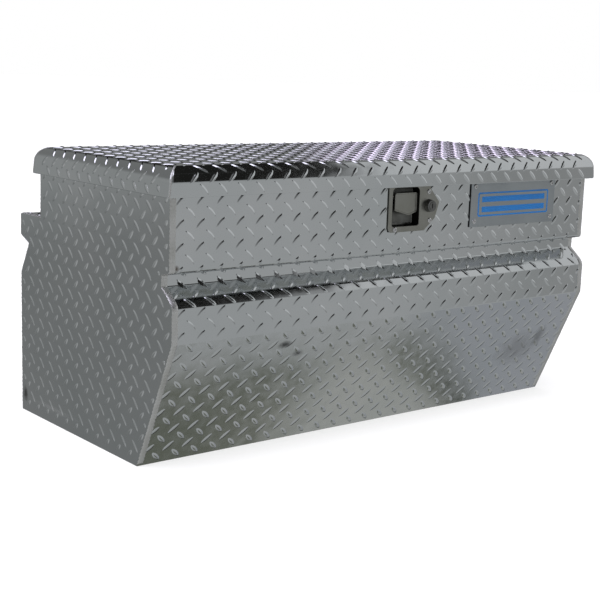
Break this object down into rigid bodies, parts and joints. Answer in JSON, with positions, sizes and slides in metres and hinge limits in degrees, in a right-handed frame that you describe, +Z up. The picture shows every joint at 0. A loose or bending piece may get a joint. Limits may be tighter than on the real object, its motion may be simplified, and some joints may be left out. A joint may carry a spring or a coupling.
{
  "type": "truck tool box",
  "caption": "Welded tread-plate chest for a truck bed with an overhanging hinged lid, grooved front and rear, a recessed paddle latch with key lock and gas struts.",
  "frame": {"origin": "middle of the whole box footprint, on the surface it stands on", "axes": "+X to the right seen from the front, +Y to the back towards the hinge, +Z up"},
  "size_m": [0.956, 0.495, 0.475],
  "materials": {
    "tread_sheet": "bright tread plate",
    "weld": "rippled weld bead",
    "plain_sheet": "mill finish",
    "seal_rubber": "closed cell foam rubber",
    "hinge_steel": "brushed stainless",
    "rivet": "domed rivet",
    "latch_steel": "brushed stainless",
    "zinc_steel": "zinc plated",
    "spring_steel": "spring wire",
    "lock_metal": "plated",
    "name_plate_metal": "brushed with a printed border",
    "strut_black": "black paint",
    "strut_rod": "ground rod"
  },
  "bodies": {
    "box": {"floor_panel": "tread_sheet", "front_panel": "tread_sheet", "hinge_body_leaf": "hinge_steel", "hinge_body_rivets": "rivet", "hinge_pin": "hinge_steel", "latch_bracket": "zinc_steel", "latch_dish": "latch_steel", "latch_gasket": "seal_rubber", "latch_screws": "latch_steel", "left_end_panel": "tread_sheet", "left_front_weld": "weld", "left_rear_weld": "weld", "left_strut_body_bracket": "plain_sheet", "lid_seal": "seal_rubber", "lock_barrel": "lock_metal", "name_plate": "name_plate_metal", "name_plate_rivets": "rivet", "name_plate_spacers": "seal_rubber", "paddle_pin": "zinc_steel", "paddle_spring": "spring_steel", "pawl_pin": "zinc_steel", "pawl_spring": "spring_steel", "rear_panel": "tread_sheet", "right_end_panel": "tread_sheet", "right_front_weld": "weld", "right_rear_weld": "weld", "right_strut_body_bracket": "plain_sheet"},
    "lid": {"lid_skin": "tread_sheet", "front_lid_channel": "plain_sheet", "rear_lid_channel": "plain_sheet", "hinge_lid_leaf": "hinge_steel", "hinge_lid_rivets": "rivet", "striker_plate": "plain_sheet", "striker_loop": "zinc_steel", "striker_screws": "zinc_steel", "left_strut_lid_bracket": "plain_sheet", "right_strut_lid_bracket": "plain_sheet"},
    "paddle": {"paddle": "latch_steel"},
    "pawl": {"pawl": "zinc_steel"},
    "lock_plug": {"lock_plug": "lock_metal", "lock_cam": "zinc_steel", "lock_nut": "zinc_steel"},
    "left_rod": {"left_strut_rod": "strut_rod"},
    "left_barrel": {"left_strut_barrel": "strut_black", "left_strut_gland": "strut_rod"},
    "right_rod": {"right_strut_rod": "strut_rod"},
    "right_barrel": {"right_strut_barrel": "strut_black", "right_strut_gland": "strut_rod"}
  },
  "joints": [
    {"name": "lid_hinge", "type": "hinge", "parent": "box", "child": "lid", "pos_m": [0, 0.1759, 0.426], "axis": [-1, 0, 0], "range_deg": [0, 80]},
    {"name": "paddle_pull", "type": "hinge", "parent": "box", "child": "paddle", "pos_m": [0, -0.2255, 0.413], "axis": [-1, 0, 0], "range_deg": [0, 30], "stiffness_Nm_per_rad": 0.2, "springref_deg": -14.32},
    {"name": "pawl_release", "type": "hinge", "parent": "box", "child": "pawl", "pos_m": [0, -0.1915, 0.392], "axis": [1, 0, 0], "range_deg": [0, 25], "stiffness_Nm_per_rad": 0.2, "springref_deg": -14.32},
    {"name": "lock_turn", "type": "hinge", "parent": "box", "child": "lock_plug", "pos_m": [0.053, -0.2335, 0.3955], "axis": [0, -1, 0], "range_deg": [0, 90]},
    {"name": "left_strut_swing", "type": "hinge", "parent": "box", "child": "left_rod", "pos_m": [-0.428, 0.1265, 0.38], "axis": [-1, 0, 0], "range_deg": [0, 74.1]},
    {"name": "left_strut_slide", "type": "slide", "parent": "left_rod", "child": "left_barrel", "axis": [0, -0.9102, 0.4143], "range_m": [0, 0.0843]},
    {"name": "right_strut_swing", "type": "hinge", "parent": "box", "child": "right_rod", "pos_m": [0.428, 0.1265, 0.38], "axis": [-1, 0, 0], "range_deg": [0, 74.1]},
    {"name": "right_strut_slide", "type": "slide", "parent": "right_rod", "child": "right_barrel", "axis": [0, -0.9102, 0.4143], "range_m": [0, 0.0843]}
  ],
  "couplings": [
    {"joint": "pawl_release", "follows": "paddle_pull", "ratio": 0.83333},
    {"joint": "left_strut_swing", "follows": "lid_hinge", "ratio": 0.92488},
    {"joint": "left_strut_slide", "follows": "lid_hinge", "m_per_rad": 0.060273},
    {"joint": "right_strut_swing", "follows": "lid_hinge", "ratio": 0.92488},
    {"joint": "right_strut_slide", "follows": "lid_hinge", "m_per_rad": 0.060273}
  ]
}
